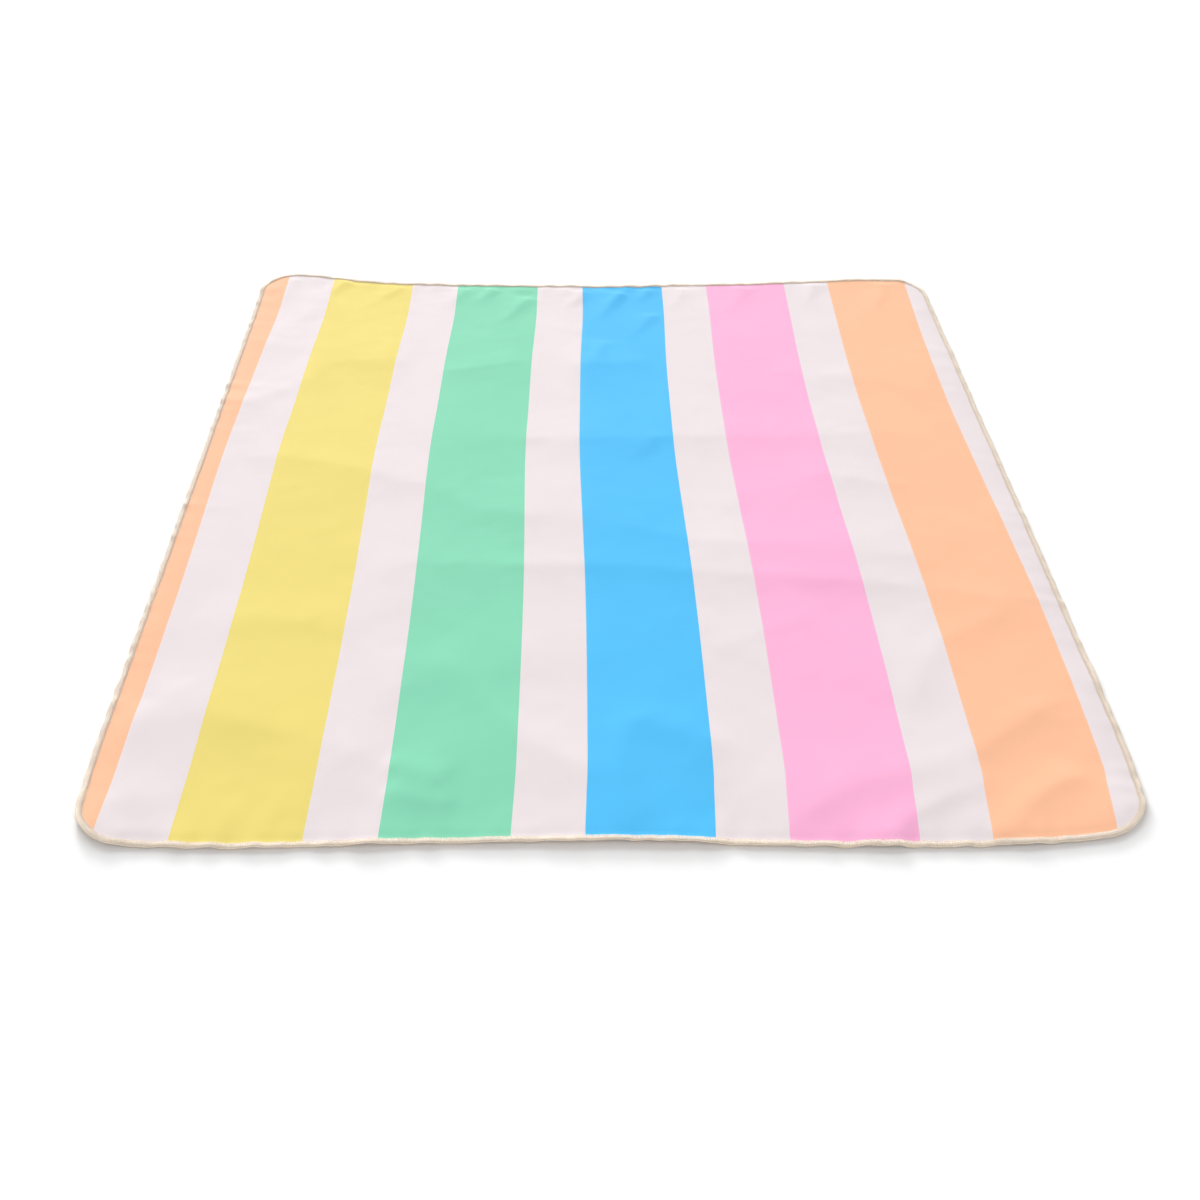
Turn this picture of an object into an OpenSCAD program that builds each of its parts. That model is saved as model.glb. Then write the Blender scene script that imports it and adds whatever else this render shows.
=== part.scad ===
// Striped picnic blanket, laid flat with its printed side up.
//
// Three layers lie on each other: a waterproof backing, a foam wadding and a printed top
// sheet. A three-thread overlock stitch runs all the way round. It squeezes the layers
// together at the edge and wraps the cut edge. The blanket folds in half across its length.
// So each layer and each thread is drawn as a front part and a back part, one either side of
// the fold line, with a narrow gap where the real cloth is continuous and bends.
//
// Frame: the origin is on the ground under the middle of the blanket. +X runs across the
// stripes, +Y along them, and +Z up. All sizes are in millimetres.

/* [Size] */
// Width over the overlocked edges, across the stripes
width = 1500; // [900:10:2000]
// Length over the overlocked edges, along the stripes
length = 1800; // [1000:10:2400]
// Radius of the rounded corners
corner_r = 75; // [30:1:150]

/* [Layers] */
// Thickness of the printed top sheet
top_t = 0.4; // [0.3:0.1:0.8]
// Thickness of the foam wadding away from the edge
wadding_t = 3; // [2:0.5:6]
// Thickness of the waterproof backing
backing_t = 0.4; // [0.3:0.1:0.8]

/* [Overlocked edge] */
// Depth of the stitch, from the needle line to the cut edge
stitch_bite = 10; // [5:0.5:10]
// Thickness of a looper thread where it lies on the cloth
thread_t = 0.5; // [0.4:0.1:0.7]
// Width of the needle thread's line
needle_w = 0.8; // [0.5:0.1:1.2]
// Thickness of the wadding where the stitch squeezes it
crimped_t = 1.4; // [0.8:0.1:1.6]

/* [Fold] */
// Gap between the front and back parts at the fold line
fold_gap = 1; // [0.6:0.1:2]
// Space between the printed faces when folded, which the creases of the cloth take up
fold_space = 12; // [1:1:20]

/* [Hidden] */
$fn = 96;

FRONT = -1;
BACK = 1;

// Distances inwards from the blanket's outline.
cut_edge = thread_t;
shoulder = cut_edge + stitch_bite;
// Each cloth turns down, or up, over the shoulder of the wadding as a short wall.
top_wall = shoulder - top_t;
backing_wall = shoulder - backing_t;
needle_out = shoulder - max(top_t, backing_t) - needle_w;

// Heights away from the edge.
wadding_z = backing_t;
top_z = wadding_z + wadding_t;
top_face_z = top_z + top_t;

// Heights inside the overlocked edge.
edge_backing_z = thread_t;
edge_wadding_z = edge_backing_z + backing_t;
edge_top_z = edge_wadding_z + crimped_t;
edge_thread_z = edge_top_z + top_t;
edge_face_z = edge_thread_z + thread_t;
thread_lock_z = edge_face_z / 2;

// The fold turns about a line above the top face, half way up the space between the folded faces.
fold_axis_z = top_face_z + fold_space / 2;
echo(str("fold axis height above the ground: ", fold_axis_z, " mm"));

// The blanket's outline, moved inwards by inset.
module outline(inset) {
    r = corner_r - inset;
    x = width / 2 - inset;
    y = length / 2 - inset;
    square([2 * (x - r), 2 * y], center = true);
    square([2 * x, 2 * (y - r)], center = true);
    for (sx = [-1, 1], sy = [-1, 1])
        translate([sx * (x - r), sy * (y - r)]) circle(r = r);
}

// A flat layer between heights z0 and z1.
module layer(inset, z0, z1) {
    translate([0, 0, z0]) linear_extrude(z1 - z0) outline(inset);
}

// A band that follows the edge, between two insets and two heights.
module edge_band(outer, inner, z0, z1) {
    translate([0, 0, z0]) linear_extrude(z1 - z0) difference() {
        outline(outer);
        outline(inner);
    }
}

// What lies on one side of the fold line.
module half(side) {
    reach = length / 2 + 1;
    tall = 4 * top_face_z;
    intersection() {
        children();
        translate([-width, side == BACK ? fold_gap / 2 : -reach, -tall / 2])
            cube([2 * width, reach - fold_gap / 2, tall]);
    }
}

module backing_sheet(side) {
    color("#c9a9ab") half(side) union() {
        layer(backing_wall, 0, backing_t);
        edge_band(backing_wall, shoulder, 0, edge_wadding_z);
        edge_band(cut_edge, shoulder, edge_backing_z, edge_wadding_z);
    }
}

module wadding(side) {
    color("#f4f2ee") half(side) union() {
        layer(shoulder, wadding_z, top_z);
        edge_band(cut_edge, shoulder, edge_wadding_z, edge_top_z);
    }
}

module top_sheet(side) {
    color("#f2e388") half(side) union() {
        layer(top_wall, top_z, top_face_z);
        edge_band(top_wall, shoulder, edge_top_z, top_face_z);
        edge_band(cut_edge, shoulder, edge_top_z, edge_thread_z);
    }
}

// The needle thread shows as a line of stitches on each face, just inside the loopers.
module needle_thread(side) {
    color("#e0d3bd") half(side) union() {
        edge_band(needle_out, needle_out + needle_w, edge_thread_z, edge_face_z);
        edge_band(needle_out, needle_out + needle_w, 0, edge_backing_z);
    }
}

// The loopers zigzag over their own face, and lock together half way down the cut edge.
module upper_looper_thread(side) {
    color("#e8dcc8") half(side) union() {
        edge_band(0, needle_out, edge_thread_z, edge_face_z);
        edge_band(0, cut_edge, thread_lock_z, edge_face_z);
    }
}

module lower_looper_thread(side) {
    color("#e4d6c0") half(side) union() {
        edge_band(0, needle_out, 0, edge_backing_z);
        edge_band(0, cut_edge, 0, thread_lock_z);
    }
}

backing_sheet(FRONT);  // backing_sheet_front
wadding(FRONT);  // wadding_front
top_sheet(FRONT);  // top_sheet_front
needle_thread(FRONT);  // needle_thread_front
upper_looper_thread(FRONT);  // upper_looper_thread_front
lower_looper_thread(FRONT);  // lower_looper_thread_front
backing_sheet(BACK);  // backing_sheet_back
wadding(BACK);  // wadding_back
top_sheet(BACK);  // top_sheet_back
needle_thread(BACK);  // needle_thread_back
upper_looper_thread(BACK);  // upper_looper_thread_back
lower_looper_thread(BACK);  // lower_looper_thread_back
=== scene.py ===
"""A striped picnic blanket, laid flat with its printed side up.

A waterproof backing, a foam wadding and a printed top sheet lie on each other, and a
three-thread overlock stitch runs round their edge. Each is one piece. Everything is in metres,
in the packed frame: +X across the stripes, +Y along them.
"""

import math

import bpy
import numpy as np
from mathutils import Matrix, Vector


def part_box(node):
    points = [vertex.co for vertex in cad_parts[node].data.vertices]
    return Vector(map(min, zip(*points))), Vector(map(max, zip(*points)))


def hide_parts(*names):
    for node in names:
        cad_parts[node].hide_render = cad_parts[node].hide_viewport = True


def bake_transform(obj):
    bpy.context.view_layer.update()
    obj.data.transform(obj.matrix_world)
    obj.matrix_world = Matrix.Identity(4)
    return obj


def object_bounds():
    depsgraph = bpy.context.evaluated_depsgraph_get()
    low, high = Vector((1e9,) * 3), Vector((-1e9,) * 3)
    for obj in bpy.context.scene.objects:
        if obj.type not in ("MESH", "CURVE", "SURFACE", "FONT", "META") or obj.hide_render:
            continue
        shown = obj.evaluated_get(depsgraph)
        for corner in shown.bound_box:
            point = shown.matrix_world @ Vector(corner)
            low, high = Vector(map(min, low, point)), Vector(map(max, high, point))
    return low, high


bl_info = {
    "name": "Striped Picnic Blanket",
    "version": (1, 0, 0),
    "blender": (4, 5, 0),
    "location": "View3D > Sidebar > Blanket",
    "description": "Makes a striped picnic blanket with its foam, backing and overlocked edge",
    "category": "Add Mesh",
}

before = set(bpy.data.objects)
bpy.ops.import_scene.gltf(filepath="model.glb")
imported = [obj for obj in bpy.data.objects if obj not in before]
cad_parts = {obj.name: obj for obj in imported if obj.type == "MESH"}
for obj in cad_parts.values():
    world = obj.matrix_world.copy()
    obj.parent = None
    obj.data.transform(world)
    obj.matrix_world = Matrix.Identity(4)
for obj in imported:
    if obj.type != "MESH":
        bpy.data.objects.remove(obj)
CAD_LOW, CAD_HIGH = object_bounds()

MM = 0.001


# ---------------------------------------------------------------------------
# Sizes that the packed frame gives
# ---------------------------------------------------------------------------

HALF_W = (CAD_HIGH.x - CAD_LOW.x) / 2
HALF_L = (CAD_HIGH.y - CAD_LOW.y) / 2

# The layers' heights away from the edge.
WADDING_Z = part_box("wadding_front")[0].z
TOP_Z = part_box("wadding_front")[1].z
FACE_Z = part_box("top_sheet_front")[1].z

# The cloths are cut this far inside the overlock, which is one laid thread.
THREAD_T = CAD_HIGH.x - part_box("top_sheet_front")[1].x
# The needle runs this far inside the blanket's outline.
NEEDLE_INSET = CAD_HIGH.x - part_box("needle_thread_front")[1].x
# The height of the crimped edge over its threads.
EDGE_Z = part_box("upper_looper_thread_front")[1].z
LOCK_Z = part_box("lower_looper_thread_front")[1].z

# The cloth's rows lie close from a little past this in front of the fold line to as far behind it.
FOLD_REACH = 8 * MM
# The underside rises no higher than this in the front half and in the back half. Folded, the
# two share the room between the faces.
CEILING_FRONT, CEILING_BACK = 8.8 * MM, 6.0 * MM


# ---------------------------------------------------------------------------
# Small tools
# ---------------------------------------------------------------------------


def linear(hex_colour):
    """An sRGB hex colour as linear red, green and blue."""
    value = hex_colour.lstrip("#")
    srgb = [int(value[i : i + 2], 16) / 255 for i in (0, 2, 4)]
    return tuple(c / 12.92 if c <= 0.04045 else ((c + 0.055) / 1.055) ** 2.4 for c in srgb)


def ease(t):
    """0 below t = 0, 1 above t = 1, and 3t² - 2t³ between."""
    t = np.clip(t, 0, 1)
    return t * t * (3 - 2 * t)


def waves(x, y, longest, shortest, seed, count=28):
    """Seeded unevenness: the sum of plane waves that run every way, with lengths from
    shortest to longest and random phases, scaled to a spread of about 1."""
    random = np.random.default_rng(seed)
    turn = random.uniform(0, 2 * np.pi, count)
    number = 2 * np.pi / random.uniform(shortest, longest, count)
    phase = random.uniform(0, 2 * np.pi, count)
    total = np.zeros(np.shape(x))
    for a, k, p in zip(turn, number, phase):
        total += np.cos(k * (np.cos(a) * x + np.sin(a) * y) + p)
    return total * math.sqrt(2 / count)


def lowest_of(a, b, knee):
    """The lower of a and b, turning smoothly from one to the other where they meet:
    b - knee * log(1 + exp((b - a) / knee))."""
    return b - knee * np.logaddexp(0, (b - a) / knee)


def inset_at(x, y, radius):
    """How far a point is inside the blanket's outline: less the signed distance to a
    rounded rectangle, which is the distance to its core rectangle less the radius."""
    qx = np.abs(x) - (HALF_W - radius)
    qy = np.abs(y) - (HALF_L - radius)
    outside = np.hypot(np.maximum(qx, 0), np.maximum(qy, 0))
    return radius - outside - np.minimum(np.maximum(qx, qy), 0)


# ---------------------------------------------------------------------------
# How the cloth lies: creases, lifted edges and ripples
# ---------------------------------------------------------------------------

# Creases that packing has left, in millimetres: the crest's height, how far the cloth takes
# to fall on the left and on the right of one who walks along the points, and the points.
CREASES = (
    # Long creases across the stripes.
    (3.8, 110, 60, ((-748, 108), (-600, 98), (-450, 62), (-330, 5), (-200, -82), (0, -112))),
    (3.9, 110, 60, ((-90, -92), (0, -112), (140, -170), (300, -190), (450, -210), (620, -265))),
    (3.0, 70, 55, ((-500, -240), (-200, -250), (0, -250), (150, -268), (350, -288), (520, -312))),
    (3.5, 70, 50, ((260, -278), (450, -300), (620, -345), (730, -410))),
    (2.2, 80, 45, ((-630, 482), (-540, 488), (-430, 486), (-350, 470))),
    (2.8, 70, 36, ((-350, 446), (-300, 452), (-230, 468), (-130, 500))),
    (1.8, 60, 40, ((-90, 484), (0, 480), (120, 490))),
    (2.3, 80, 50, ((-370, 180), (-100, 174), (140, 180), (400, 190), (700, 180))),
    (2.4, 70, 55, ((-680, -388), (-500, -405), (-370, -432))),
    (2.0, 60, 40, ((320, 46), (450, 34), (660, -24))),
    (1.8, 60, 45, ((410, 428), (560, 412), (700, 376))),
    # Slanting creases from the corners and the front edge.
    (2.2, 60, 45, ((-748, 262), (-680, 330), (-600, 402), (-555, 490))),
    (4.0, 100, 75, ((-735, -550), (-580, -640), (-440, -692), (-310, -750))),
    (4.6, 35, 80, ((-290, -450), (-200, -600), (-130, -690), (-60, -745), (40, -785))),
    (4.4, 40, 70, ((16, -915), (4, -780), (30, -655), (130, -690), (210, -750))),
    (5.2, 90, 32, ((180, -915), (300, -802), (400, -765), (500, -735), (600, -655), (720, -580))),
    (3.6, 34, 22, ((325, -915), (395, -852), (470, -802), (560, -762))),
    (4.6, 45, 28, ((500, -915), (590, -812), (690, -762))),
    (3.2, 30, 20, ((-335, -735), (-290, -758), (-235, -785))),
    (3.0, 34, 24, ((-330, -790), (-285, -812), (-220, -822))),
    (2.2, 60, 45, ((150, -490), (250, -430), (360, -376))),
    (2.4, 40, 30, ((430, -650), (520, -475), (670, -362))),
    (2.2, 70, 60, ((-716, 500), (-645, 670), (-575, 835))),
    (3.6, 50, 22, ((-705, -600), (-702, -740), (-655, -860))),
)

# Puckers that the overlock draws in from the edge, given as the creases are. Each grows
# towards its last point.
PUCKERS = (
    (4.0, 26, 13, ((-240, 610), (-190, 720), (-145, 840))),
    (5.2, 26, 13, ((-16, 650), (22, 760), (60, 872))),
    (2.8, 22, 14, ((40, 540), (90, 640), (128, 740))),
    (1.8, 20, 14, ((40, 60), (75, 130), (105, 195))),
    (2.6, 20, 13, ((-26, 430), (-4, 500), (14, 590))),
    (3.4, 22, 13, ((-82, 710), (-54, 790), (-24, 876))),
    (2.8, 20, 12, ((-345, 730), (-314, 810), (-290, 882))),
    (3.2, 20, 12, ((-276, 750), (-252, 816), (-226, 880))),
    (2.4, 20, 13, ((-530, 710), (-484, 800), (-430, 884))),
    (3.0, 20, 12, ((-620, 740), (-590, 820), (-556, 896))),
    (2.4, 20, 13, ((85, 770), (102, 820), (120, 880))),
    (2.8, 20, 12, ((150, 730), (180, 810), (206, 882))),
    (2.8, 20, 12, ((280, 710), (316, 800), (344, 886))),
    (2.8, 20, 12, ((445, 720), (482, 815), (506, 892))),
    (3.0, 20, 12, ((590, 680), (630, 780), (662, 888))),
    (2.6, 20, 12, ((-700, 720), (-690, 800), (-672, 880))),
)

# Where the edge has sprung up, in millimetres: a point on it, the lift and the reach.
LIFTS = (
    (-745, -890, 6.2, 85),
    (-560, -915, 2.6, 90),
    (-330, -915, 2.8, 90),
    (-150, -915, 2.0, 70),
    (0, -912, 3.4, 75),
    (120, -912, 2.8, 50),
    (330, -915, 1.6, 80),
    (560, -915, 2.6, 70),
    (715, -880, 5.0, 95),
    (755, -560, 1.6, 70),
    (-715, 915, 3.0, 120),
    (755, 420, 1.4, 90),
)

# How far the stitch has curled the front edge up, in millimetres, by place.
FRONT_CURL = (
    (-750, 0), (-670, 0.5), (-590, 2.0), (-500, 3.3), (-300, 3.7), (-50, 3.6), (150, 3.2),
    (330, 2.6), (480, 1.4), (600, 0.6), (750, 0),
)

# How far the front and back edges stray outwards from straight, in millimetres, by place.
FRONT_STRAY = (
    (-750, 3), (-660, 6), (-540, 12), (-400, 9), (-200, 4), (-30, 3), (60, 4), (200, 10),
    (330, 14), (560, 12), (750, 0),
)
BACK_STRAY = (
    (-750, -4), (-670, 5), (-590, -6), (-490, -28), (-400, -35), (-200, -42), (0, -44),
    (120, -42), (200, -31), (330, -28), (430, -18), (540, -7), (660, -1), (750, -2),
)
# An edge's stray dies out this far in from it.
STRAY_REACH = 0.3

# How far the print has drifted sideways, in millimetres, by place from front to back: at the
# left stripe and at the right one, and where those two run.
DRIFT_LEFT = (
    (-900, -3), (-720, -1), (-300, 0), (100, -4), (300, 0), (500, 4), (700, 11), (900, 11),
)
DRIFT_RIGHT = (
    (-900, -25), (-800, -12), (-720, -4), (-400, 2), (-100, -3), (300, -11), (600, -8), (900, 2),
)
LEFT_STRIPE, RIGHT_STRIPE = -0.7, 0.7

# Where a corner is cut askew, in millimetres: the place, how far it is moved, and the reach.
CORNER_PULLS = ((745, -895, -11, 9, 120), (-745, -880, 8, -2, 90), (-745, 890, -4, 0, 60))


def smooth_line(points, step):
    """A line through the points that turns smoothly: Catmull-Rom, where each stretch is the
    cubic that leaves each point towards the one after from the one before."""
    p = np.vstack([2 * points[0] - points[1], points, 2 * points[-1] - points[-2]])
    found = [points[:1]]
    for a, b, c, d in zip(p[:-3], p[1:-2], p[2:-1], p[3:]):
        t = np.linspace(0, 1, max(2, math.ceil(np.linalg.norm(c - b) / step)) + 1)[1:, None]
        bend = (2 * a - 5 * b + 4 * c - d) * t**2 + (3 * b - a - 3 * c + d) * t**3
        found.append((2 * b + (c - a) * t + bend) / 2)
    return np.vstack(found)


def crease_height(x, y, crease, fade_in, fade_out, crest=7 * MM):
    """A crease's height. Across it, that falls with the distance d from the line as
    exp(-(sqrt(d² + crest²) - crest) / fall), so the crest is narrow and the foot is wide.
    Along it, it eases in from nothing over the first share of its length, and out over the
    last."""
    high, left, right, points = crease
    line = smooth_line(np.array(points, float) * MM, 30 * MM)
    runs = np.linalg.norm(np.diff(line, axis=0), axis=1)
    starts = np.concatenate([[0], np.cumsum(runs)])
    near = np.full(x.shape, np.inf)
    side = np.ones(x.shape)
    along = np.zeros(x.shape)
    for (ax, ay), (bx, by), run, start in zip(line[:-1], line[1:], runs, starts):
        ux, uy = (bx - ax) / run, (by - ay) / run
        t = np.clip((x - ax) * ux + (y - ay) * uy, 0, run)
        dx, dy = x - ax - t * ux, y - ay - t * uy
        distance = np.hypot(dx, dy)
        closer = distance < near
        near = np.where(closer, distance, near)
        side = np.where(closer, ux * dy - uy * dx, side)
        along = np.where(closer, (start + t) / starts[-1], along)
    # Near the line the fall changes from one side's to the other's without a step.
    lean = ease(0.5 + side / (4 * crest))
    fall = (right + (left - right) * lean) * MM
    across = np.exp(-(np.sqrt(near**2 + crest**2) - crest) / fall)
    return high * MM * across * ease(along / fade_in) * ease((1 - along) / fade_out)


def stray(x, places):
    """How far something strays at x: a smooth line through the places."""
    line = smooth_line(np.array(places, float) * MM, 20 * MM)
    return np.interp(x, line[:, 0], line[:, 1])


def corner_pull(x, y):
    """How far the corners' pull moves a point, across and along."""
    pull = np.zeros((2, *x.shape))
    for px, py, pull_x, pull_y, reach in CORNER_PULLS:
        near = np.exp(-((x / MM - px) ** 2 + (y / MM - py) ** 2) / reach**2)
        pull += np.multiply.outer([pull_x * MM, pull_y * MM], near)
    return pull


class Lie:
    """How the blanket lies on the ground, worked out once on a regular grid. A piece asks for
    the place of any points of the flat cloth, so that all the layers lie on each other."""

    STEP = 3 * MM
    MARGIN = 12 * MM

    def __init__(self, cloth, relief):
        self.radius = cloth.corner_radius
        self.relief = relief
        self.xs = np.arange(-HALF_W - self.MARGIN, HALF_W + self.MARGIN + self.STEP, self.STEP)
        self.ys = np.arange(-HALF_L - self.MARGIN, HALF_L + self.MARGIN + self.STEP, self.STEP)
        self.heights = self.height_map(*np.meshgrid(self.xs, self.ys))

    def height_map(self, x, y):
        """Height of the underside: the creases and puckers, a broad swell and a fine crumple,
        with the ripples, curls and lifts towards the edge. A smooth floor at zero keeps it on
        the ground, and smooth ceilings leave the folded half its room."""
        relief = self.relief
        inset = inset_at(x, y, self.radius)
        high = sum(crease_height(x, y, crease, 0.22, 0.22) for crease in CREASES)
        high = high + sum(crease_height(x, y, pucker, 0.8, 0.12, 4 * MM) for pucker in PUCKERS)
        high = high * relief.crease_scale
        high = high + relief.swell * waves(x, y, 420 * MM, 160 * MM, seed=3)
        high = high + relief.crumple * waves(x, y, 90 * MM, 38 * MM, seed=5)
        # Ripples run in at right angles to the nearest edge, with a little slant.
        at_end = ease(0.5 + ((HALF_W - np.abs(x)) - (HALF_L - np.abs(y))) / (80 * MM))
        ends = waves(x - 0.35 * y, 0 * y, 56 * MM, 26 * MM, seed=8)
        sides = waves(0 * x, y + 0.2 * x, 70 * MM, 30 * MM, seed=9)
        by_edge = np.exp(-np.maximum(inset, 0) / relief.ripple_depth)
        high = high + relief.ripple * by_edge * (at_end * ends + (1 - at_end) * sides)
        high = lowest_of(high, relief.tallest, 0.4 * MM)
        # The stitch curls both ends up, in some places more than in others: the back one gently
        # and the front one steeply.
        outer = np.maximum(inset, -6 * MM)
        uneven = 0.25 * np.tanh(waves(x, 0 * y, 260 * MM, 120 * MM, seed=10))
        back = relief.curl * (1 + uneven) * np.exp(-outer / relief.curl_depth)
        uneven = 0.4 * np.tanh(waves(x, 0 * y, 110 * MM, 30 * MM, seed=14))
        front = stray(x, FRONT_CURL) * (1 + uneven) * np.exp(-outer / relief.front_curl_depth)
        high = high + at_end * np.where(y > 0, back, front)
        for px, py, lift, reach in LIFTS:
            near = np.hypot(x - px * MM, y - py * MM) / (reach * MM)
            high = high + lift * MM * np.exp(-(near**2)) * relief.lift_scale
        middle, half = (CEILING_FRONT + CEILING_BACK) / 2, (CEILING_FRONT - CEILING_BACK) / 2
        high = lowest_of(high, middle - half * np.tanh(y / 0.2), 0.5 * MM)
        softness = 0.35 * MM
        return (high + np.sqrt(high**2 + softness**2)) / 2

    def height(self, x, y):
        """The height at any points, straight between the four grid points round each."""
        u = np.clip((x - self.xs[0]) / self.STEP, 0, len(self.xs) - 1.001)
        v = np.clip((y - self.ys[0]) / self.STEP, 0, len(self.ys) - 1.001)
        i, j = u.astype(int), v.astype(int)
        u, v = u - i, v - j
        h = self.heights
        low = h[j, i] * (1 - u) + h[j, i + 1] * u
        return low * (1 - v) + (h[j + 1, i] * (1 - u) + h[j + 1, i + 1] * u) * v

    def place(self, x, y, lift):
        """Where points of the flat cloth lie. The front and back edges stray by place, three
        corners are drawn in or out, the edge is a little ragged, and lift is the height within
        the layers."""
        front = ease((-y - HALF_L + STRAY_REACH) / STRAY_REACH) * stray(x, FRONT_STRAY)
        back = ease((y - HALF_L + STRAY_REACH) / STRAY_REACH) * stray(x, BACK_STRAY)
        pull = corner_pull(x, y)
        by_edge = np.exp(-np.maximum(inset_at(x, y, self.radius), 0) / (12 * MM))
        ragged = self.relief.ragged * by_edge * waves(x, y, 60 * MM, 24 * MM, seed=12)
        across = x + pull[0] + ragged
        along = y - front + back + pull[1] + ragged
        return np.stack([across, along, self.height(x, y) + lift], -1)


def crimp(inset):
    """1 within the stitch and 0 past it, eased over a soft shoulder."""
    return 1 - ease((inset - NEEDLE_INSET - 0.6 * MM) / (20 * MM))


def rolled(inset):
    """How far the stitch has rolled the cut edge of either face inwards."""
    return 0.3 * MM * (1 - ease(inset / (2 * MM)))


def face_lift(inset):
    """Height of the printed face over the underside: the overlock squeezes it down."""
    return FACE_Z - (FACE_Z - (EDGE_Z - THREAD_T)) * crimp(inset) - rolled(inset)


def under_lift(inset):
    """Height of the backing's outer face: the overlock's own thread holds it off the ground."""
    return THREAD_T * crimp(inset) + rolled(inset)


# ---------------------------------------------------------------------------
# Meshes
# ---------------------------------------------------------------------------


def make_piece(name, points, faces, uvs, material):
    """Puts arrays into a mesh: points (n, 3), quads (m, 4) and uvs (m, 4, 2). The quads are
    turned round if the solid that they close has a negative volume."""
    a, b, c, d = (points[faces[:, i]] for i in range(4))
    volume = np.einsum("ij,ij->", a, np.cross(b, c)) + np.einsum("ij,ij->", a, np.cross(c, d))
    if volume < 0:
        faces, uvs = faces[:, ::-1], uvs[:, ::-1]
    mesh = bpy.data.meshes.new(name)
    mesh.vertices.add(len(points))
    mesh.loops.add(faces.size)
    mesh.polygons.add(len(faces))
    mesh.vertices.foreach_set("co", points.astype(np.float32).ravel())
    mesh.loops.foreach_set("vertex_index", np.ascontiguousarray(faces).astype(np.int32).ravel())
    mesh.polygons.foreach_set("loop_start", np.arange(0, faces.size, 4, dtype=np.int32))
    mesh.polygons.foreach_set("use_smooth", np.ones(len(faces), bool))
    layer = mesh.uv_layers.new(name="Cloth")
    layer.data.foreach_set("uv", np.ascontiguousarray(uvs).astype(np.float32).ravel())
    mesh.update(calc_edges=True)
    mesh.validate()
    piece = bpy.data.objects.new(name, mesh)
    mesh.materials.append(material)
    bpy.context.scene.collection.objects.link(piece)
    return piece


def bend_with_fold(piece):
    """Bakes the piece's transform into its mesh."""
    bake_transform(piece)


def stretch(start, stop, step):
    """Even steps from start up to but not including stop."""
    count = max(1, round((stop - start) / step))
    return np.linspace(start, stop, count, endpoint=False)


def flat_pattern(radius, pitch):
    """The cloth's grid, flat: points (n, 2), the inset of each, quads, and the outer ring.

    The middle is a grid whose rows end on a rounded rectangle: a row's half width is the full
    one, less r - sqrt(r² - past²) where the row is past the start of the corners. The margin is
    a set of rings that carry on straight outwards from the grid's own edge points."""
    margin = 34 * MM
    past_needle = np.array([17, 11.5, 7.5, 4.4, 2.2, 0.7, -0.4]) * MM
    within_stitch = NEEDLE_INSET * np.array([0.74, 0.5, 0.28, 0.13])
    insets = np.concatenate([NEEDLE_INSET + past_needle, within_stitch, [THREAD_T]])
    half_w, half_l, r = HALF_W - margin, HALF_L - margin, radius - margin
    core_w, core_l = half_w - r, half_l - r

    turn = np.linspace(0, np.pi / 2, 10)
    corner = core_l + r * np.sin(turn)
    fine = 1.5 * MM
    bend = FOLD_REACH + 2 * fine
    rows = np.concatenate([
        -corner[:0:-1],
        stretch(-core_l, -bend, pitch),
        stretch(-bend, bend, fine),
        stretch(bend, core_l, pitch),
        corner,
    ])
    past = np.clip(np.abs(rows) - core_l, 0, r)
    widths = core_w + np.sqrt(np.maximum(r * r - past * past, 0))
    across = np.linspace(-1, 1, round(2 * half_w / pitch) + 1)
    grid = np.stack([across[None] * widths[:, None], np.repeat(rows[:, None], len(across), 1)], -1)

    index = np.arange(grid.shape[0] * grid.shape[1]).reshape(grid.shape[:2])
    quads = np.stack([index[:-1, :-1], index[:-1, 1:], index[1:, 1:], index[1:, :-1]], -1)
    rim = np.concatenate([index[0, :-1], index[:-1, -1], index[-1, :0:-1], index[:0:-1, 0]])

    points = grid.reshape(-1, 2)
    edge = points[rim]
    core = np.clip(edge, [-core_w, -core_l], [core_w, core_l])
    outward = (edge - core) / np.linalg.norm(edge - core, axis=1, keepdims=True)
    rings = [rim]
    for inset in insets:
        rings.append(np.arange(len(points), len(points) + len(rim)))
        points = np.vstack([points, edge + outward * (margin - inset)])
    rings = np.array(rings)
    ahead = np.roll(rings, -1, axis=1)
    bands = np.stack([rings[:-1], rings[1:], ahead[1:], ahead[:-1]], -1)
    faces = np.vstack([quads.reshape(-1, 4), bands.reshape(-1, 4)])
    return points, inset_at(points[:, 0], points[:, 1], radius), faces, rings[-1]


def print_place(x, y):
    """Where the print lies on the flat cloth: what is drawn at a place was meant for the place
    less its drift, which changes from the left stripe's to the right one's, slowly at first.
    The corners were cut askew, so their pull leaves the print where it is."""
    left, right = stray(y, DRIFT_LEFT), stray(y, DRIFT_RIGHT)
    share = ((x - LEFT_STRIPE) / (RIGHT_STRIPE - LEFT_STRIPE)) ** 2
    return np.stack([x - left - (right - left) * share + corner_pull(x, y)[0], y], -1)


def cloth_layer(name, lie, pattern, low, high, material):
    """A closed layer: the flat pattern at two heights within the blanket, joined by a wall
    round its cut edge. low and high give those heights by inset."""
    flat, inset, faces, rim = pattern
    count = len(flat)
    x, y = flat[:, 0], flat[:, 1]
    under = lie.place(x, y, low(inset))
    over = lie.place(x, y, high(inset))
    ahead = np.roll(rim, -1)
    wall = np.stack([rim, ahead, ahead + count, rim + count], -1)
    quads = np.vstack([faces + count, faces[:, ::-1], wall])
    on_cloth = print_place(x, y)
    on_cloth = np.vstack([on_cloth, on_cloth])
    piece = make_piece(name, np.vstack([under, over]), quads, on_cloth[quads], material)
    bend_with_fold(piece)
    return piece


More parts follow.
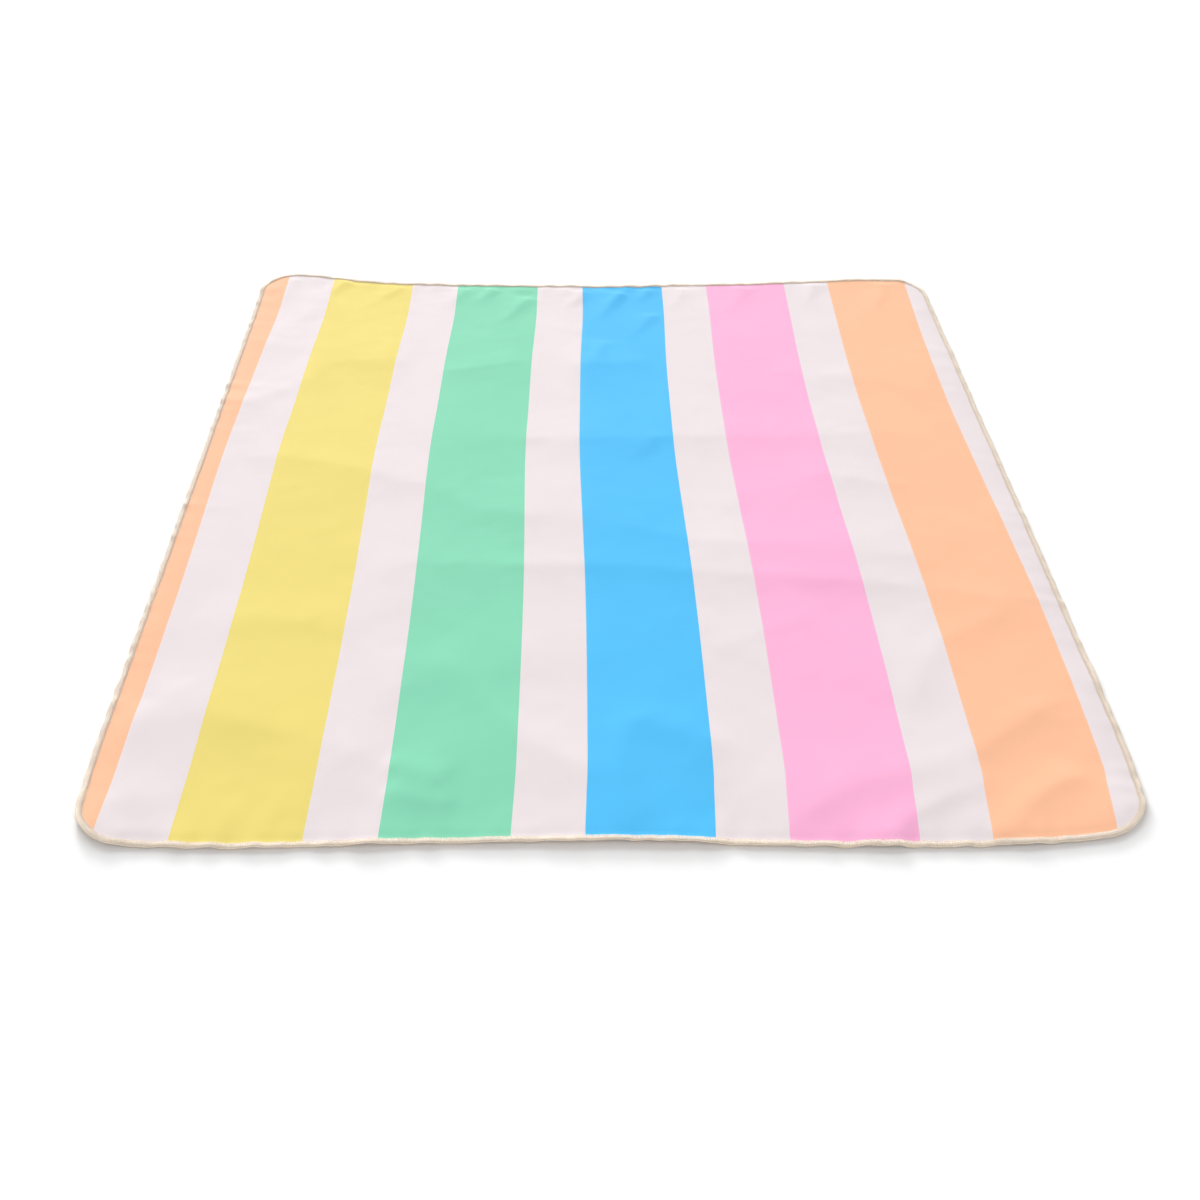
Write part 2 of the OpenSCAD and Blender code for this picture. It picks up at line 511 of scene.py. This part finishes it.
class Edge:
    """The blanket's outline as a path. A place on it is a distance along and an inset."""

    def __init__(self, radius, reference):
        core_w, core_l = HALF_W - radius, HALF_L - radius
        arc = (radius - reference) * np.pi / 2
        corners = np.array([(-1, -1), (1, -1), (1, 1), (-1, 1)]) * [core_w, core_l]
        sides = [2 * core_w, 2 * core_l, 2 * core_w, 2 * core_l]
        self.radius = radius
        stops, cores, turns = [0.0], [corners[0]], [-np.pi / 2]
        for k, side in enumerate(sides):
            core = corners[(k + 1) % 4]
            stops += [stops[-1] + side, stops[-1] + side + arc]
            cores += [core, core]
            turns += [turns[-1], turns[-1] + np.pi / 2]
        self.stops, self.cores, self.turns = np.array(stops), np.array(cores), np.array(turns)
        self.length = stops[-1]

    def at(self, along, inset):
        """Flat points and outward directions: from the core rectangle's nearest point,
        outwards by the radius less the inset."""
        along = along % self.length
        core = np.stack([np.interp(along, self.stops, self.cores[:, k]) for k in (0, 1)], -1)
        turn = np.interp(along, self.stops, self.turns)
        outward = np.stack([np.cos(turn), np.sin(turn)], -1)
        return core + outward * (self.radius - inset)[:, None], outward


def thread_piece(name, path, up, width, thickness, sides, material):
    """A closed loop of thread: an ellipse carried along the path. Its long way lies along the
    path's direction crossed with up, and is as long as width says, point by point. u runs
    along the thread and v round it, in metres."""
    along = np.roll(path, -1, axis=0) - np.roll(path, 1, axis=0)
    along /= np.linalg.norm(along, axis=1, keepdims=True)
    side = np.cross(along, up)
    side /= np.linalg.norm(side, axis=1, keepdims=True)
    rise = np.cross(side, along)
    turn = np.linspace(0, 2 * np.pi, sides, endpoint=False) + np.pi / sides
    ring = side[:, None] * (np.outer(width, np.cos(turn)) / 2)[:, :, None]
    ring = ring + rise[:, None] * (np.sin(turn) * thickness / 2)[:, None]
    points = (path[:, None] + ring).reshape(-1, 3)

    count = len(path)
    i, j = np.meshgrid(np.arange(count), np.arange(sides), indexing="ij")
    i2, j2 = (i + 1) % count, (j + 1) % sides
    quads = np.stack([i * sides + j, i * sides + j2, i2 * sides + j2, i2 * sides + j], -1)
    steps = np.linalg.norm(np.roll(path, -1, axis=0) - path, axis=1)
    u = np.concatenate([[0], np.cumsum(steps)])
    v = np.linspace(0, np.pi * (np.mean(width) + thickness) / 2, sides + 1)
    uvs = np.stack([
        np.stack([u[i], v[j]], -1),
        np.stack([u[i], v[j + 1]], -1),
        np.stack([u[i + 1], v[j + 1]], -1),
        np.stack([u[i + 1], v[j]], -1),
    ], -2)
    piece = make_piece(name, points, quads.reshape(-1, 4), uvs.reshape(-1, 4, 2), material)
    bend_with_fold(piece)
    return piece


def stitch_phase(stitches, samples):
    """The stitch number and the share of it that has passed, for every sample of a row."""
    t = np.arange(stitches * samples) / samples
    return np.floor(t), t % 1.0


def looper_path(lie, edge, stitch, top):
    """A looper's loops, and the yarn's width along them. Each leaves the needle line, runs out
    to the cut edge, follows it for a bit under half a stitch and runs back in, and the two
    loopers take turns along the edge. q is 0 at the needle and 1 at the edge, and the inset
    falls evenly with it. The height follows sqrt(1 - q²⁰): it keeps to the face and then drops
    to the edge's middle."""
    stitches = round(edge.length / stitch.pitch)
    pitch = edge.length / stitches
    number, share = stitch_phase(stitches, 8)
    step = np.round(share * 8).astype(int)
    q = np.array([0, 0.45, 0.9, 1, 1, 0.9, 0.45, 0.05])[step]
    progress = np.array([0, 0.1, 0.2, 0.28, 0.72, 0.8, 0.9, 0.96])[step]
    # The machine's pull makes no two stitches quite alike.
    uneven = np.random.default_rng(21 if top else 22).normal(0, 1, (3, stitches))
    uneven = uneven[:, number.astype(int)]
    along = (number + progress + (0 if top else 0.5) + 0.05 * uneven[0] * q) * pitch
    inner = NEEDLE_INSET + 0.35 * MM * uneven[1]
    outer = THREAD_T - 0.6 * MM + 0.12 * MM * uneven[2]
    inset = inner + (outer - inner) * q
    flat, outward = edge.at(along, inset)
    half = stitch.yarn_thickness / 2
    bow = np.sqrt(np.maximum(1 - q**20, 0))
    if top:
        face = face_lift(inset) + rolled(inset) + half + 0.12 * MM * np.sin(np.pi * q)
    else:
        face = np.full_like(q, half)
    middle = LOCK_Z + (0.15 if top else -0.15) * MM
    lift = middle + (face - middle) * bow
    path = lie.place(flat[:, 0], flat[:, 1], lift)
    lean = q**20
    up = np.concatenate([outward * lean[:, None], (1 - lean[:, None]) * (1 if top else -1)], -1)
    # The yarn spreads out from under the needle thread, which pinches it.
    width = stitch.yarn_width * (0.8 + 0.2 * ease(q / 0.4))
    return path, up, width


def needle_path(lie, edge, stitch):
    """The needle thread: a dash on the face for each stitch, which dips through the layers to
    the underside and back at its end. The dip is 1 at a stitch's end and 0 along the dash. Up
    points outwards, because the path itself turns down and up."""
    stitches = round(edge.length / stitch.pitch)
    pitch = edge.length / stitches
    number, share = stitch_phase(stitches, 6)
    dip = ease((np.abs(share - 0.5) - 0.28) / 0.22)
    along = (number + share - 0.18 * dip * np.sin(2 * np.pi * share)) * pitch
    inset = np.full_like(share, NEEDLE_INSET + 0.4 * MM)
    flat, outward = edge.at(along, inset)
    high = face_lift(inset) + stitch.needle_thickness / 2
    lift = high + (stitch.needle_thickness / 2 - high) * dip
    path = lie.place(flat[:, 0], flat[:, 1], lift)
    up = np.concatenate([outward, np.zeros((len(outward), 1))], -1)
    return path, up


# ---------------------------------------------------------------------------
# Materials
# ---------------------------------------------------------------------------


def add_node(tree, kind, settings=(), **inputs):
    """Adds a node. settings are its own attributes as a dict. inputs are sockets by name, with
    an underscore for a space, or by number as at_0: a value is set and a socket is linked."""
    node = tree.nodes.new(kind)
    for key, value in dict(settings).items():
        setattr(node, key, value)
    for key, value in inputs.items():
        if key.startswith("at_"):
            socket = node.inputs[int(key[3:])]
        else:
            socket = node.inputs[key.replace("_", " ")]
        if isinstance(value, bpy.types.NodeSocket):
            tree.links.new(value, socket)
        else:
            socket.default_value = value
    return node


def new_material(name, roughness, sheen, sheen_roughness, specular):
    """A material with its Principled shader, and the tree and shader to build on."""
    material = bpy.data.materials.new(name)
    material.use_nodes = True
    tree = material.node_tree
    shader = tree.nodes["Principled BSDF"]
    shader.inputs["Roughness"].default_value = roughness
    shader.inputs["Sheen Weight"].default_value = sheen
    shader.inputs["Sheen Roughness"].default_value = sheen_roughness
    shader.inputs["Specular IOR Level"].default_value = specular
    return material, tree, shader


def weave(tree, across, pitch):
    """A plain weave from two sets of threads on the cloth's own map: the product of two sine
    waves at right angles, which is high where one thread passes over the other."""
    bands = []
    for direction in ("X", "Y"):
        # A Wave texture's bands repeat every 2π / 20 of its scale's unit.
        bands.append(add_node(
            tree,
            "ShaderNodeTexWave",
            {"bands_direction": direction, "wave_profile": "SIN"},
            Vector=across,
            Scale=math.pi / (10 * pitch),
            Distortion=0.4,
            Detail=1.0,
        ).outputs["Fac"])
    both_ways = add_node(
        tree, "ShaderNodeMath", {"operation": "MULTIPLY"}, at_0=bands[0], at_1=bands[1]
    )
    return both_ways.outputs[0]


def uneven_colour(tree, colour, amount, fac):
    """A colour made a little lighter or darker by a pattern from 0 to 1."""
    level = add_node(
        tree,
        "ShaderNodeMapRange",
        Value=fac,
        To_Min=1 - amount,
        To_Max=1 + amount,
    ).outputs["Result"]
    return add_node(
        tree, "ShaderNodeVectorMath", {"operation": "SCALE"}, at_0=colour, Scale=level
    ).outputs["Vector"]


def stripe_plan(design):
    """The print from left to right, as the place where each band starts and its colour."""
    colours = [design.yellow, design.green, design.blue, design.pink, design.peach]
    repeat = design.stripe + design.ground
    plan = [(-HALF_W, design.peach)]
    for k, colour in enumerate(colours):
        start = design.first_stripe + k * repeat
        plan += [(start - design.ground, design.base), (start, colour)]
    plan.append((design.first_stripe + len(colours) * repeat - design.ground, design.base))
    return plan


def stripe_colour(tree, place, design):
    """The print's colour at a place across it: each band's takes over where the band starts."""
    (_, first), *others = stripe_plan(design)
    colour = (*first, 1)
    for start, ink in others:
        past = add_node(
            tree, "ShaderNodeMath", {"operation": "GREATER_THAN"}, at_0=place, at_1=start
        )
        # Of a Mix node's sockets, 0 is the factor, and 6, 7 and output 2 are colours.
        mixed = add_node(
            tree,
            "ShaderNodeMix",
            {"data_type": "RGBA"},
            at_0=past.outputs[0],
            at_6=colour,
            at_7=(*ink, 1),
        )
        colour = mixed.outputs[2]
    return colour


def printed_polyester(design):
    """Brushed polyester, woven and then printed: matt and faintly downy, with flat pastel
    colours that have crisp, straight edges."""
    material, tree, shader = new_material(
        "printed brushed polyester", roughness=0.8, sheen=0.05, sheen_roughness=0.45, specular=0.15
    )
    cloth = add_node(tree, "ShaderNodeUVMap", {"uv_map": "Cloth"}).outputs["UV"]
    place = add_node(tree, "ShaderNodeSeparateXYZ", Vector=cloth).outputs["X"]
    # The ink takes a little unevenly over patches a hand wide, and over single threads.
    patches = add_node(tree, "ShaderNodeTexNoise", Vector=cloth, Scale=14.0, Detail=3.0)
    ink = uneven_colour(tree, stripe_colour(tree, place, design), 0.03, patches.outputs["Fac"])
    # The real threads are 0.2 mm apart. They are drawn at 1.5 mm, so that they show close to.
    threads = weave(tree, cloth, 1.5 * MM)
    ink = uneven_colour(tree, ink, 0.045, threads)
    tree.links.new(ink, shader.inputs["Base Color"])
    down = add_node(tree, "ShaderNodeTexNoise", Vector=cloth, Scale=900.0, Detail=2.0)
    relief = add_node(tree, "ShaderNodeBump", Strength=0.5, Distance=0.2 * MM, Height=threads)
    soft = add_node(
        tree,
        "ShaderNodeBump",
        Strength=0.2,
        Distance=0.2 * MM,
        Height=down.outputs["Fac"],
        Normal=relief.outputs["Normal"],
    )
    tree.links.new(soft.outputs["Normal"], shader.inputs["Normal"])
    return material


def coated_taffeta(design):
    """Close-woven polyester with a waterproof coating: it has a dull, even gleam, and is
    slightly pebbled where the coating follows the threads."""
    material, tree, shader = new_material(
        "coated polyester taffeta", roughness=0.5, sheen=0.0, sheen_roughness=0.3, specular=0.4
    )
    cloth = add_node(tree, "ShaderNodeUVMap", {"uv_map": "Cloth"}).outputs["UV"]
    threads = weave(tree, cloth, 1.4 * MM)
    patches = add_node(tree, "ShaderNodeTexNoise", Vector=cloth, Scale=9.0, Detail=4.0)
    base = add_node(tree, "ShaderNodeRGB")
    base.outputs[0].default_value = (*design.backing, 1)
    colour = uneven_colour(tree, base.outputs[0], 0.06, patches.outputs["Fac"])
    colour = uneven_colour(tree, colour, 0.05, threads)
    tree.links.new(colour, shader.inputs["Base Color"])
    crinkle = add_node(tree, "ShaderNodeTexNoise", Vector=cloth, Scale=55.0, Detail=3.0)
    relief = add_node(tree, "ShaderNodeBump", Strength=0.3, Distance=0.12 * MM, Height=threads)
    soft = add_node(
        tree,
        "ShaderNodeBump",
        Strength=0.25,
        Distance=0.9 * MM,
        Height=crinkle.outputs["Fac"],
        Normal=relief.outputs["Normal"],
    )
    tree.links.new(soft.outputs["Normal"], shader.inputs["Normal"])
    return material


def open_cell_foam(design):
    """Thin polyurethane foam, sliced from a block: dead matt, off-white, with small pores."""
    material, tree, shader = new_material(
        "sliced polyurethane foam", roughness=0.95, sheen=0.0, sheen_roughness=0.5, specular=0.15
    )
    cloth = add_node(tree, "ShaderNodeUVMap", {"uv_map": "Cloth"}).outputs["UV"]
    # Pores 0.8 mm apart.
    pores = add_node(tree, "ShaderNodeTexVoronoi", Vector=cloth, Scale=1 / (0.8 * MM))
    base = add_node(tree, "ShaderNodeRGB")
    base.outputs[0].default_value = (*design.foam, 1)
    colour = uneven_colour(tree, base.outputs[0], 0.12, pores.outputs["Distance"])
    tree.links.new(colour, shader.inputs["Base Color"])
    relief = add_node(
        tree, "ShaderNodeBump", Strength=0.6, Distance=0.3 * MM, Height=pores.outputs["Distance"]
    )
    tree.links.new(relief.outputs["Normal"], shader.inputs["Normal"])
    return material


def bulked_thread(name, colour_value, twist):
    """Bulked polyester yarn, crimped and loosely twisted, so that it spreads and covers the
    edge: soft and matt, with fine slanting plies and uneven shade along it."""
    material, tree, shader = new_material(
        name, roughness=0.85, sheen=0.2, sheen_roughness=0.5, specular=0.2
    )
    # The fibres let light through, so the shaded side of a yarn isn't dark.
    shader.inputs["Subsurface Weight"].default_value = 0.4
    shader.inputs["Subsurface Radius"].default_value = (1.2, 1.0, 0.8)
    shader.inputs["Subsurface Scale"].default_value = MM
    yarn = add_node(tree, "ShaderNodeUVMap", {"uv_map": "Cloth"}).outputs["UV"]
    turned = add_node(
        tree, "ShaderNodeMapping", Vector=yarn, Rotation=(0, 0, math.radians(35))
    ).outputs["Vector"]
    plies = add_node(
        tree,
        "ShaderNodeTexWave",
        {"bands_direction": "X", "wave_profile": "SIN"},
        Vector=turned,
        Scale=math.pi / (10 * twist),
        Distortion=1.5,
        Detail=1.0,
    )
    base = add_node(tree, "ShaderNodeRGB")
    base.outputs[0].default_value = (*colour_value, 1)
    shade = add_node(tree, "ShaderNodeTexNoise", Vector=yarn, Scale=60.0, Detail=2.0)
    colour = uneven_colour(tree, base.outputs[0], 0.08, shade.outputs["Fac"])
    colour = uneven_colour(tree, colour, 0.1, plies.outputs["Fac"])
    tree.links.new(colour, shader.inputs["Base Color"])
    relief = add_node(
        tree, "ShaderNodeBump", Strength=0.4, Distance=0.15 * MM, Height=plies.outputs["Fac"]
    )
    tree.links.new(relief.outputs["Normal"], shader.inputs["Normal"])
    return material


def painted_floor(colour_value):
    """A matt painted studio floor: plain, and so pale that the light turns it white."""
    material, _, shader = new_material(
        "matt painted floor", roughness=0.9, sheen=0.0, sheen_roughness=0.5, specular=0.1
    )
    shader.inputs["Base Color"].default_value = (*colour_value, 1)
    return material


# ---------------------------------------------------------------------------
# Settings
# ---------------------------------------------------------------------------


def size_prop(label, description, default, low, high):
    """A length in metres."""
    return bpy.props.FloatProperty(
        name=label,
        description=description,
        default=default,
        min=low,
        max=high,
        precision=4,
        unit="LENGTH",
    )


def angle_prop(label, description, degrees):
    """An angle, given in degrees and kept in radians."""
    return bpy.props.FloatProperty(
        name=label, description=description, default=math.radians(degrees), subtype="ANGLE"
    )


def strength_prop(label, description, default, high):
    """A bare number from 0 up to high."""
    return bpy.props.FloatProperty(
        name=label, description=description, default=default, min=0, max=high
    )


def colour_prop(label, description, hex_colour):
    """A colour, given as sRGB hex and kept as linear."""
    return bpy.props.FloatVectorProperty(
        name=label,
        description=description,
        default=linear(hex_colour),
        min=0,
        max=1,
        size=3,
        subtype="COLOR",
    )


class BlanketCloth(bpy.types.PropertyGroup):
    """The layers' shape."""

    corner_radius: size_prop("Corner radius", "Radius of the rounded corners", 75 * MM, 0.04, 0.15)
    grid_pitch: size_prop("Grid pitch", "Spacing of the points of each layer", 8.6 * MM, 0.004, 0.03)


class BlanketPrint(bpy.types.PropertyGroup):
    """The print and the colours of the layers."""

    stripe: size_prop("Stripe", "Width of a coloured stripe", 180.5 * MM, 0.02, 0.4)
    ground: size_prop("Ground", "Width of the pale ground between stripes", 102.2 * MM, 0.01, 0.4)
    first_stripe: size_prop("First stripe", "Where the yellow stripe starts", -603.5 * MM, -0.75, 0)
    base: colour_prop("Pale", "Pale ground of the print", "#E4D9DB")
    yellow: colour_prop("Yellow", "First stripe", "#E8D576")
    green: colour_prop("Green", "Second stripe", "#82D3B1")
    blue: colour_prop("Blue", "Third stripe", "#4CBBF2")
    pink: colour_prop("Pink", "Fourth stripe", "#F6AFD3")
    peach: colour_prop("Peach", "Fifth stripe, and the part stripe at the left edge", "#F8BC97")
    foam: colour_prop("Foam", "Wadding", "#EFEBE2")
    backing: colour_prop("Backing", "Waterproof backing, a dusty rose", "#B98F8C")


class BlanketStitch(bpy.types.PropertyGroup):
    """The overlock stitch."""

    pitch: size_prop("Stitch length", "Distance from stitch to stitch", 3.5 * MM, 0.002, 0.01)
    yarn_width: size_prop("Yarn width", "Width of a looper yarn as it lies", 3.0 * MM, 0.0005, 0.004)
    yarn_thickness: size_prop("Yarn thickness", "Its thickness", 0.65 * MM, 0.0003, 0.002)
    needle_width: size_prop("Needle thread", "Width of the needle thread", 0.9 * MM, 0.0002, 0.002)
    needle_thickness: size_prop("Needle thickness", "Its thickness", 0.5 * MM, 0.0002, 0.002)
    upper: colour_prop("Upper looper", "Cream yarn over the edge", "#F1DCC6")
    lower: colour_prop("Lower looper", "Cream yarn under the edge", "#EBD6C0")
    needle: colour_prop("Needle", "Needle thread", "#F1DBC5")


class BlanketRelief(bpy.types.PropertyGroup):
    """How flat the blanket lies."""

    crease_scale: strength_prop("Creases", "Height of the creases, as a share", 1.0, 1.5)
    lift_scale: strength_prop("Edge lift", "Height of the sprung edges, as a share", 1.0, 1.3)
    swell: size_prop("Swell", "Height of the broad unevenness", 0.5 * MM, 0, 0.002)
    crumple: size_prop("Crumple", "Height of the fine unevenness", 0.12 * MM, 0, 0.001)
    tallest: size_prop("Tallest", "Height of the tallest crease", 5.4 * MM, 0.001, 0.006)
    curl: size_prop("Curl", "How far the back edge curls up", 3.8 * MM, 0, 0.006)
    curl_depth: size_prop("Back depth", "How far the back curl reaches in", 20 * MM, 0.004, 0.04)
    front_curl_depth: size_prop(
        "Front depth", "How far the front curl reaches in", 11 * MM, 0.004, 0.04
    )
    ripple: size_prop("Ripple", "Height of the ripples at the edge", 0.6 * MM, 0, 0.002)
    ripple_depth: size_prop("Ripple depth", "How far the ripples reach in", 42 * MM, 0.005, 0.1)
    ragged: size_prop("Ragged edge", "How far the edge wanders in the plane", 0.5 * MM, 0, 0.002)


class BlanketStage(bpy.types.PropertyGroup):
    """The camera, the lights and the floor."""

    lens: bpy.props.FloatProperty(
        name="Lens", description="Focal length", default=46.35, min=10, max=200, unit="CAMERA"
    )
    camera_place: bpy.props.FloatVectorProperty(
        name="Camera",
        description="Camera's place",
        default=(-0.078, -2.393, 1.499),
        subtype="XYZ",
        unit="LENGTH",
    )
    pitch: angle_prop("Pitch", "Downward tilt", 36.17)
    heading: angle_prop("Heading", "Turn to the left", -1.79)
    roll: angle_prop("Roll", "Turn about the line of sight", 1.05)
    sky: strength_prop("Ceiling", "Brightness of the even light from above", 0.29, 3)
    walls: strength_prop("Walls", "Brightness of the walls at the horizon", 1.5, 3)
    key: strength_prop("Key", "Strength of the high soft light from behind", 1.33, 20)
    rake: strength_prop("Rake", "Strength of the low soft light from behind", 2.6, 20)
    fill: strength_prop("Fill", "Strength of the soft light from in front", 0.62, 20)
    back: strength_prop("Back", "Power of the softbox over the back edge, in watts", 5, 2000)
    floor: colour_prop("Floor", "Pale floor", "#F7F7F7")


SETTINGS = {
    "blanket_cloth": BlanketCloth,
    "blanket_print": BlanketPrint,
    "blanket_stitch": BlanketStitch,
    "blanket_relief": BlanketRelief,
    "blanket_stage": BlanketStage,
}


# ---------------------------------------------------------------------------
# Operators
# ---------------------------------------------------------------------------


def both(node):
    """The names of a CAD part's front and back nodes."""
    return [f"{node}_front", f"{node}_back"]


class BLANKET_OT_layers(bpy.types.Operator):
    """Makes the backing, the wadding and the printed top sheet"""

    bl_idname = "blanket.layers"
    bl_label = "Cloths and Wadding"

    def execute(self, context):
        scene = context.scene
        cloth, design = scene.blanket_cloth, scene.blanket_print
        lie = Lie(cloth, scene.blanket_relief)
        pattern = flat_pattern(cloth.corner_radius, cloth.grid_pitch)
        backing_t, top_t = WADDING_Z, FACE_Z - TOP_Z

        def over_backing(inset):
            return under_lift(inset) + backing_t

        def under_top(inset):
            return face_lift(inset) - top_t

        backing = cloth_layer(
            "backing_sheet", lie, pattern, under_lift, over_backing, coated_taffeta(design)
        )
        wadding = cloth_layer(
            "wadding", lie, pattern, over_backing, under_top, open_cell_foam(design)
        )
        top = cloth_layer(
            "top_sheet", lie, pattern, under_top, face_lift, printed_polyester(design)
        )
        for piece, slot in (
            (backing, "coated_backing"),
            (wadding, "foam_wadding"),
            (top, "printed_polyester"),
        ):
            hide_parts(*both(piece.name))
        # Both cloths are cut to the overlock's cut edge, with rounded corners.
        return {"FINISHED"}


class BLANKET_OT_overlock(bpy.types.Operator):
    """Makes the three threads of the overlocked edge"""

    bl_idname = "blanket.overlock"
    bl_label = "Overlocked Edge"

    def execute(self, context):
        scene = context.scene
        stitch = scene.blanket_stitch
        lie = Lie(scene.blanket_cloth, scene.blanket_relief)
        edge = Edge(scene.blanket_cloth.corner_radius, NEEDLE_INSET / 2)
        for name, top, colour in (
            ("upper_looper_thread", True, stitch.upper),
            ("lower_looper_thread", False, stitch.lower),
        ):
            path, up, width = looper_path(lie, edge, stitch, top)
            yarn = f"bulked polyester yarn, {name.split('_')[0]}"
            material = bulked_thread(yarn, colour, 0.9 * MM)
            piece = thread_piece(name, path, up, width, stitch.yarn_thickness, 6, material)
            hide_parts(*both(name))
        path, up = needle_path(lie, edge, stitch)
        material = bulked_thread("spun polyester thread", stitch.needle, 0.5 * MM)
        # The needle thread's up points outwards, so its thickness takes the place of a width.
        upright = np.full(len(path), stitch.needle_thickness)
        piece = thread_piece("needle_thread", path, up, upright, stitch.needle_width, 4, material)
        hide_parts(*both("needle_thread"))
        return {"FINISHED"}


class BLANKET_OT_stage(bpy.types.Operator):
    """Makes the floor, the light and the camera"""

    bl_idname = "blanket.stage"
    bl_label = "Stage"

    def execute(self, context):
        scene = context.scene
        stage = scene.blanket_stage
        mesh = bpy.data.meshes.new("floor")
        reach = 20.0
        corners = [(-reach, -reach, 0), (reach, -reach, 0), (reach, reach, 0), (-reach, reach, 0)]
        mesh.from_pydata(corners, [], [(0, 1, 2, 3)])
        floor = bpy.data.objects.new("floor", mesh)
        mesh.materials.append(painted_floor(stage.floor))
        scene.collection.objects.link(floor)

        # White studio walls, and a dimmer ceiling above 45 degrees.
        world = bpy.data.worlds.new("white studio")
        world.use_nodes = True
        tree = world.node_tree
        tree.nodes["Background"].inputs["Color"].default_value = (1, 1, 1, 1)
        towards = add_node(tree, "ShaderNodeTexCoord").outputs["Generated"]
        climb = add_node(tree, "ShaderNodeSeparateXYZ", Vector=towards).outputs["Z"]
        sky = add_node(
            tree,
            "ShaderNodeMapRange",
            Value=climb,
            From_Max=0.7,
            To_Min=stage.walls,
            To_Max=stage.sky,
        )
        tree.links.new(sky.outputs["Result"], tree.nodes["Background"].inputs["Strength"])
        scene.world = world
        scene.view_settings.view_transform = "Standard"

        # The distant lights, with their widths in degrees: two windows behind the blanket, one
        # high and one low, and a very wide, weak fill from in front.
        for name, strength, width, place in (
            ("high window", stage.key, 40, (-0.9, 3.0, 2.4)),
            ("low window", stage.rake, 14, (-0.8, 3.0, 0.78)),
            ("front fill", stage.fill, 90, (0.3, -2.0, 2.4)),
        ):
            lamp = bpy.data.lights.new(name, "SUN")
            lamp.energy, lamp.angle = strength, math.radians(width)
            window = bpy.data.objects.new(name, lamp)
            window.matrix_world = looking(place, (0, 0, 0))
            scene.collection.objects.link(window)

        lamp = bpy.data.lights.new("softbox", "AREA")
        lamp.shape = "RECTANGLE"
        lamp.size, lamp.size_y = 2.4, 1.2
        lamp.energy = stage.back
        softbox = bpy.data.objects.new("softbox", lamp)
        softbox.matrix_world = looking((-0.3, 1.9, 2.2), (0, 0.8, 0))
        scene.collection.objects.link(softbox)

        camera = bpy.data.cameras.new("camera")
        camera.lens, camera.sensor_width = stage.lens, 36.0
        viewer = bpy.data.objects.new("camera", camera)
        viewer.matrix_world = camera_matrix(stage)
        scene.collection.objects.link(viewer)
        scene.camera = viewer
        return {"FINISHED"}


def looking(place, target):
    """The matrix of a lamp at place that shines at target."""
    place, target = np.array(place, float), np.array(target, float)
    back = (place - target) / np.linalg.norm(place - target)
    right = np.cross((0, 0, 1), back)
    right /= np.linalg.norm(right)
    axes = np.stack([right, np.cross(back, right), back, place], -1)
    return Matrix([*axes.tolist(), [0, 0, 0, 1]])


def camera_matrix(stage):
    """The camera's matrix from its heading, pitch and roll: it looks along +Y, turned left by
    the heading and down by the pitch, and is then turned about its line of sight."""
    turn, tilt, roll = stage.heading, stage.pitch, stage.roll
    level = math.cos(tilt)
    ahead = np.array([-math.sin(turn) * level, math.cos(turn) * level, -math.sin(tilt)])
    right = np.array([math.cos(turn), math.sin(turn), 0.0])
    up = np.cross(right, ahead)
    rolled_right = right * math.cos(roll) + up * math.sin(roll)
    rolled_up = up * math.cos(roll) - right * math.sin(roll)
    axes = np.stack([rolled_right, rolled_up, -ahead, np.array(stage.camera_place)], -1)
    return Matrix([*axes.tolist(), [0, 0, 0, 1]])


OPERATORS = (BLANKET_OT_layers, BLANKET_OT_overlock, BLANKET_OT_stage)


class BLANKET_PT_sidebar(bpy.types.Panel):
    """Lists what can be made"""

    bl_label = "Picnic Blanket"
    bl_space_type = "VIEW_3D"
    bl_region_type = "UI"
    bl_category = "Blanket"

    def draw(self, context):
        for operator in OPERATORS:
            self.layout.operator(operator.bl_idname)
        for name, group in SETTINGS.items():
            box = self.layout.box()
            box.label(text=group.__doc__)
            for key in group.__annotations__:
                box.prop(getattr(context.scene, name), key)


CLASSES = (*SETTINGS.values(), *OPERATORS, BLANKET_PT_sidebar)


def register():
    for cls in CLASSES:
        bpy.utils.register_class(cls)
    for name, group in SETTINGS.items():
        setattr(bpy.types.Scene, name, bpy.props.PointerProperty(type=group))


def unregister():
    for name in SETTINGS:
        delattr(bpy.types.Scene, name)
    for cls in reversed(CLASSES):
        bpy.utils.unregister_class(cls)


def main():
    """Makes the blanket and its stage."""
    register()
    bpy.ops.blanket.layers()
    bpy.ops.blanket.overlock()
    bpy.ops.blanket.stage()


if __name__ == "__main__":
    main()
